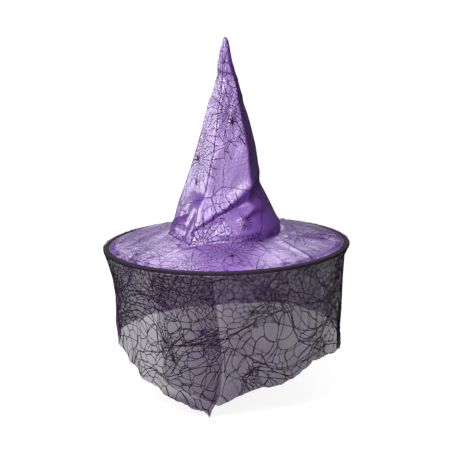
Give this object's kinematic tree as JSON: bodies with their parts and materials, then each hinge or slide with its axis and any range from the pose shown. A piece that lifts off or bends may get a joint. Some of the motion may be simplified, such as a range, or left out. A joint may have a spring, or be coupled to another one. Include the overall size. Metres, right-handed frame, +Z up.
{
  "type": "witch hat",
  "caption": "Pointed costume hat with a hooped round brim that slopes down to its rim, a closed cone crown over an open head hole, and a strip of lace netting hung from the rim as a veil.",
  "frame": {"origin": "centre of the head opening, on the underside of the brim", "axes": "+Z up to the tip of the crown, -Y towards what the wearer faces, +X to the right of someone who stands in front of the hat; the head opening lies in the plane of X and Y"},
  "size_m": [0.4128, 0.4128, 0.6016],
  "materials": {
    "satin": "shiny purple satin printed with fine dark spider webs",
    "interlining": "matt non-woven stiffening cloth",
    "lining": "matt black plain weave",
    "binding": "black ribbed folded tape",
    "sweatband": "black grosgrain ribbon",
    "hoop_wire": "drawn spring wire",
    "ferrule": "crimped sleeve",
    "lace": "black spider-web lace on fine see-through net",
    "thread_black": "black sewing thread",
    "thread_purple": "dark purple sewing thread"
  },
  "bodies": {
    "root": {"crown_outer": "satin", "crown_interlining": "interlining", "crown_seam_stitches": "thread_purple", "crown_base_stitches": "thread_purple", "brim_top": "satin", "brim_interlining": "interlining", "brim_lining": "lining", "brim_hoop": "hoop_wire", "hoop_ferrule": "ferrule", "edge_binding": "binding", "binding_stitches": "thread_black", "sweatband": "sweatband", "sweatband_stitches": "thread_black", "lace_veil": "lace", "veil_stitches": "thread_black"}
  },
  "joints": []
}
